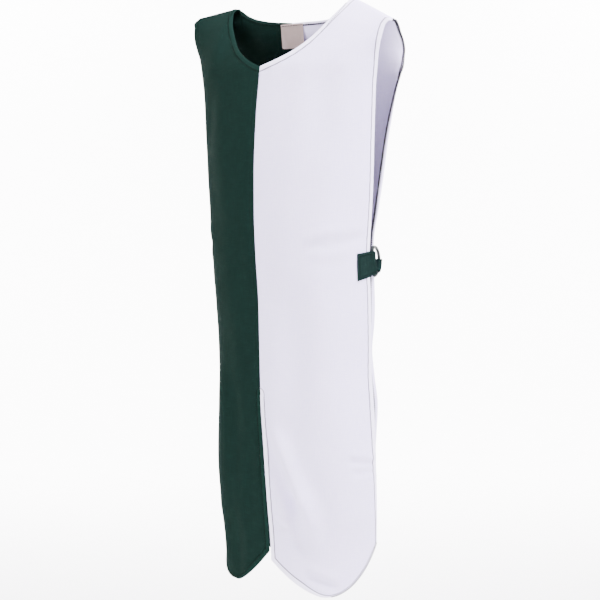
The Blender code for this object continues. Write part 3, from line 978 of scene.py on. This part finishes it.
def strip_piece(name, stations, height, material, thread):
    """A folded strip with turned long edges, from the places of its middle line's stations."""
    middle = np.swapaxes(eased(stations, STRIP_STEPS), 0, 1)
    outs = grid_normals(middle)
    rows, columns = middle.shape[:2]
    from_edge = height * np.minimum(np.arange(rows), np.arange(rows)[::-1]) / (rows - 1)
    share = (from_edge / STRIP_EDGE)[:, None] * np.ones((1, columns))
    half_thick = STRIP_THICK / 2 + hem_lift(share) / 2
    outer = middle + half_thick[..., None] * outs
    inner = middle - half_thick[..., None] * outs
    steps = np.linalg.norm(np.diff(middle, axis=1), axis=-1)
    along = np.concatenate((np.zeros((rows, 1)), np.cumsum(steps, axis=1)), axis=1)
    down = height * np.arange(rows)[:, None] / (rows - 1) * np.ones((1, columns))
    near = np.minimum(from_edge[:, None], np.minimum(along, along[:, -1:] - along)) / STRIP_EDGE
    piece = shell_mesh(name + "_cloth", outer, inner, np.stack((along, down, near), axis=-1), material)
    row = int(round(STRIP_EDGE / height * (rows - 1)))
    lines = []
    for face, sign in ((outer, 1.0), (inner, -1.0)):
        lines += [(face[r], sign * outs[r]) for r in (row, rows - 1 - row)]
        lines.append((face[row:-row, STRIP_STEPS], sign * outs[row:-row, STRIP_STEPS]))
    stitches = stitch_mesh(name + "_stitches", lines, thread)
    return piece, stitches, along


def mirrored(place, side):
    return np.array((side * place[0], place[1], place[2]))


def ring_frame():
    """The ring's own directions: away from its bar, and up along it."""
    away = (BOW - BAR).normalized()
    up = (Vector((0, 0, 1)) - away.z * away).normalized()
    return np.array(away), np.array(up)


def bow_reach(height):
    """How far the ring's bow stands from its bar at a height along the bar."""
    bend = math.sqrt(1 - (height / RING_HALF_HEIGHT) ** 2)
    return RING_CORNER + (RING_REACH - RING_CORNER) * bend ** RING_FULLNESS


def strip_stations(steps, height, spot):
    """Where each step along a strip lies, at each height across it."""
    heights = [height * (0.5 - row / STRIP_ROWS) for row in range(STRIP_ROWS + 1)]
    return np.array([[spot(*step, above) for above in heights] for step in steps])


def make_tab(panel):
    """Stations of the front's tab, from its sewn end round the ring's bar to its inner end."""
    side = panel.side
    bar = np.array(BAR)
    edge = mirrored(panel.points(math.pi / 2, panel.down_at(TAB_DROP)), side)
    lean = unit(np.array((bar[0] - edge[0] + SOLID_WALL / 2, bar[1] - edge[1], 0.0)))
    outward = np.array((lean[1], -lean[0], 0.0))
    up = ring_frame()[1]
    outer = STRIP_THICK / 2 + STRIP_CLEAR
    inner = -CLOTH - TURNED_PLY - STRIP_THICK / 2 - STRIP_CLEAR
    on_front = [("cloth", TAB_ON_FRONT * share, outer) for share in (1.0, 0.85, 0.7, 0.5, 0.3, 0.12)]
    fold = [("fold", math.radians(90 - 180 * k / FOLD_STEPS), 0) for k in range(FOLD_STEPS + 1)]
    inside = [("cloth", TAB_INSIDE * share, inner) for share in (0.15, 0.45, 0.7, 1.0)]

    def spot(kind, where, out, height):
        if kind == "fold":
            round_bar = math.cos(where) * lean + math.sin(where) * outward
            along = TAB_FOLD_SHARE * height - TAB_FOLD_LOWER
            return mirrored(bar + along * up + FOLD_RADIUS * round_bar, side)
        drop = TAB_DROP - TAB_RISE * (1 - where / TAB_ON_FRONT)
        drop -= height * (1 + TAB_FLARE * where / TAB_ON_FRONT)
        return panel.place(where, drop, out)

    return strip_stations(on_front + fold + inside, TAB_HEIGHT, spot)


def make_strap(panel):
    """Stations of the back's strap, which goes round the ring's bow and back on itself."""
    side = panel.side
    bar = np.array(BAR)
    away, up = ring_frame()
    ahead = unit(np.array((away[0], away[1], 0.0)))
    outward = np.array((ahead[1], -ahead[0], 0.0))
    lower = STRIP_THICK / 2 + STRIP_CLEAR
    upper = lower + STRIP_THICK + STRIP_CLEAR
    legs = [
        [("cloth", reach, out + lift) for reach, lift in zip(STRAP_ON_BACK, STRAP_LIFTS)]
        for out in (lower, upper)
    ]
    fold = [("fold", math.radians(-90 + 180 * k / FOLD_STEPS), 0) for k in range(FOLD_STEPS + 1)]

    def spot(kind, where, out, height):
        if kind == "cloth":
            return panel.place(where, STRAP_END_DROP - height, out)
        along = height - STRAP_BELOW_RING
        wire = bar + bow_reach(along) * away + along * up
        slope = (bow_reach(along + PROBE) - bow_reach(along - PROBE)) / (2 * PROBE)
        past_wire = unit(away - slope * up)
        round_wire = math.sin(where) * outward - math.cos(where) * past_wire
        return mirrored(wire + FOLD_RADIUS * round_wire, side)

    return strip_stations(legs[0][::-1] + fold + legs[1], STRAP_HEIGHT, spot)


def make_ring(name, side, material):
    """The D-ring's round wire: a straight bar, two small corners and a bow."""
    away, up = ring_frame()
    corner = RING_HALF_HEIGHT - RING_CORNER

    def turned(turn, height):
        angle = math.radians(turn)
        return RING_CORNER + RING_CORNER * math.cos(angle), height + RING_CORNER * math.sin(angle)

    outline = [turned(turn, corner) for turn in range(180, 91, -RING_CORNER_TURN)]
    for turn in range(90, -91, -RING_BOW_TURN):
        height = RING_HALF_HEIGHT * math.sin(math.radians(turn))
        outline.append((bow_reach(height), height))
    outline += [turned(turn, -corner) for turn in range(255, 179, -RING_CORNER_TURN)]
    curve = bpy.data.curves.new(name, "CURVE")
    curve.dimensions = "3D"
    curve.bevel_depth = RING_WIRE_SHOWN / 2 + LACQUER
    curve.bevel_resolution = RING_ROUNDNESS
    spline = curve.splines.new("POLY")
    spline.points.add(len(outline) - 1)
    spline.use_cyclic_u = True
    for point, (reach, height) in zip(spline.points, outline):
        point.co = (*mirrored(np.array(BAR) + reach * away + height * up, side), 1.0)
    curve.materials.append(material)
    return put_in_scene(name, curve)


def make_label(back, material, thread):
    """A bare rectangle of tape inside the back of the neck, sewn along its top edge."""
    rows, columns = LABEL_ROWS, LABEL_COLUMNS
    start = back.top(0.0) + LABEL_BELOW_NECK
    top = back.points(0.0, start)
    inside = top[1] - SOLID_WALL - LABEL_BEHIND
    middle = np.empty((rows + 1, columns + 1, 3))
    for row in range(rows + 1):
        for column in range(columns + 1):
            hang = LABEL_HEIGHT * row / rows
            across = 2 * column / columns - 1
            curl = LABEL_CURL * across ** 4 * row / rows
            past = max(0.0, hang - LABEL_HEIGHT + LABEL_ROUND) / LABEL_ROUND
            half_width = LABEL_WIDTH / 2 - LABEL_ROUND * (1 - math.sqrt(1 - past * past))
            depth = inside + LABEL_LEAN * hang - curl
            middle[row, column] = (half_width * across, depth, top[2] - hang)
    outs = grid_normals(middle)
    outs *= np.sign(-outs[..., 1:2])
    outer = middle + LABEL_THICK / 2 * outs
    inner = middle - LABEL_THICK / 2 * outs
    across = LABEL_WIDTH * np.arange(columns + 1)[None, :] / columns * np.ones((rows + 1, 1))
    down = LABEL_HEIGHT * np.arange(rows + 1)[:, None] / rows * np.ones((1, columns + 1))
    near = np.minimum.reduce([across, LABEL_WIDTH - across, down, LABEL_HEIGHT - down])
    tape = np.stack((across, down, near), axis=-1)
    piece = shell_mesh("neck_label_tape", outer, inner, tape, material)
    row = int(round(LABEL_STITCH_IN / LABEL_HEIGHT * rows))
    stitches = stitch_mesh("neck_label_stitches", [(outer[row], outs[row])], thread)
    return piece, stitches


def declare(piece, node, with_pieces):
    """Puts a piece and the threads that belong to it under the root body, and hides the solid it
    replaces.
    """
    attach(piece, "root")
    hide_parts(node)
    for other in with_pieces:
        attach(other, "root")
    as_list(with_pieces)


# Colours of each cotton: the cloth, its slow shade, its slubs, its hem, and the painted shade along its
# stitches, which is also the thread sunk between them
GREEN = ("#0f1e1a", "#0e1c18", "#11221e", "#12241f", "#0a1410")
# Painted light: the tab and strap take a copy of the green cotton painted lighter, for the light they
# catch more than the panels do
GREEN_STRIP_PAINTED_LIGHTER = ("#111e1b", "#0f1b18", "#152420", "#13211e", "#0a1614")
WHITE = ("#e2dafa", "#dbd3f5", "#eae4fd", "#f3effe", "#7d7489")
green_cotton = woven_cotton("green_woven_cotton", GREEN, 0.002, "#8fb0a4", 0.25)
# The green cotton again, painted lighter for the light that falls on the tab and strap
green_strip_painted_lighter = woven_cotton("green_strip_painted_lighter_cotton", GREEN_STRIP_PAINTED_LIGHTER, 0.004, "#8fb0a4", 0.25)
white_cotton = woven_cotton("white_woven_cotton", WHITE, 0.03, "#ffffff", 0.22)
grey_thread = spun_thread("grey_spun_thread", "#37343b", "#242227")
green_thread = spun_thread("green_spun_thread", "#091b16", "#071511")
cream_tape = label_satin("cream_label_tape", "#96847e", "#8b7a73")
black_wire = lacquered_wire("lacquered_steel_wire")
cottons = {"green": (green_cotton, green_thread), "white": (white_cotton, grey_thread)}

# Each colour's front and back panels with their stitches, and its tab, strap and D-ring
for colour, side, word in (("green", -1, "right"), ("white", 1, "left")):
    panels = {place: Panel(place, colour, side) for place in ("front", "back")}
    for place, panel in panels.items():
        piece, sewn = make_panel(panel, *cottons[colour])
        declare(piece, panel.name, sewn)
    for name, stations, height in (
        ("tab_" + word, make_tab(panels["front"]), TAB_HEIGHT),
        ("strap_" + word, make_strap(panels["back"]), STRAP_HEIGHT),
    ):
        piece, stitches, along = strip_piece(name, stations, height, green_strip_painted_lighter, green_thread)
        declare(piece, name, [stitches])
    ring = make_ring("ring_" + word + "_wire", side, black_wire)
    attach(ring, "root")
    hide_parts("ring_" + word)
label, label_stitches = make_label(Panel("back", "white", 1), cream_tape, grey_thread)
declare(label, "neck_label", [label_stitches])


def studio():
    """A pale floor that rises behind the garment, soft lights, and the camera."""
    paper, tree, shader = new_material("matt_white_paper", 0.95)
    fibre = add_node(tree, "TexNoise", {"Scale": 300.0})
    mottled = add_node(
        tree,
        "Mix",
        {"Factor": fibre.outputs["Fac"], 6: linear("#fbfbfb"), 7: linear("#f6f6f6")},
        data_type="RGBA",
    )
    tree.links.new(mottled.outputs[2], shader.inputs["Base Color"])
    right = Vector((math.cos(AZIMUTH), math.sin(AZIMUTH), 0))
    ahead = Vector((-math.sin(AZIMUTH), math.cos(AZIMUTH), 0))
    profile = [(FLOOR_BEGINS, 0.0), (FLOOR_ENDS, 0.0)]
    for turn in range(TURN_STEP, 91, TURN_STEP):
        angle = math.radians(turn)
        height = WALL_TURN * (1 - math.cos(angle))
        profile.append((FLOOR_ENDS + WALL_TURN * math.sin(angle), height))
    profile.append((FLOOR_ENDS + WALL_TURN, WALL_HEIGHT))
    points = [
        tuple(depth * ahead + across * right + Vector((0, 0, FLOOR_Z + height)))
        for depth, height in profile
        for across in (-FLOOR_HALF_WIDTH, FLOOR_HALF_WIDTH)
    ]
    faces = [(2 * k, 2 * k + 1, 2 * k + 3, 2 * k + 2) for k in range(len(profile) - 1)]
    smooth_piece("studio_floor", points, faces, paper)
    world = bpy.data.worlds.new("studio_air")
    bpy.context.scene.world = world
    world.use_nodes = True
    world.node_tree.nodes["Background"].inputs["Color"].default_value = linear(AIR)
    world.node_tree.nodes["Background"].inputs["Strength"].default_value = AIR_STRENGTH
    for lamp in LAMPS:
        data = bpy.data.lights.new(lamp.name, "AREA")
        data.size = lamp.size
        data.energy = lamp.power
        data.color = linear(lamp.tint)[:3]
        light = put_in_scene(lamp.name, data)
        place = lamp.across * right + lamp.depth * ahead + Vector((0, 0, lamp.height))
        light.location = place
        target = lamp.aim[0] * right + lamp.aim[1] * ahead + Vector((0, 0, lamp.aim[2]))
        light.rotation_euler = (target - place).to_track_quat("-Z", "Y").to_euler()
    lens = bpy.data.cameras.new("camera")
    lens.lens = LENS
    lens.sensor_width = SENSOR
    camera = put_in_scene("camera", lens)
    looking = math.cos(PITCH) * ahead - math.sin(PITCH) * Vector((0, 0, 1))
    camera.location = -CAMERA_DISTANCE * ahead + CAMERA_ASIDE * right + Vector((0, 0, CAMERA_HEIGHT))
    camera.rotation_euler = looking.to_track_quat("-Z", "Y").to_euler()
    bpy.context.scene.camera = camera


studio()
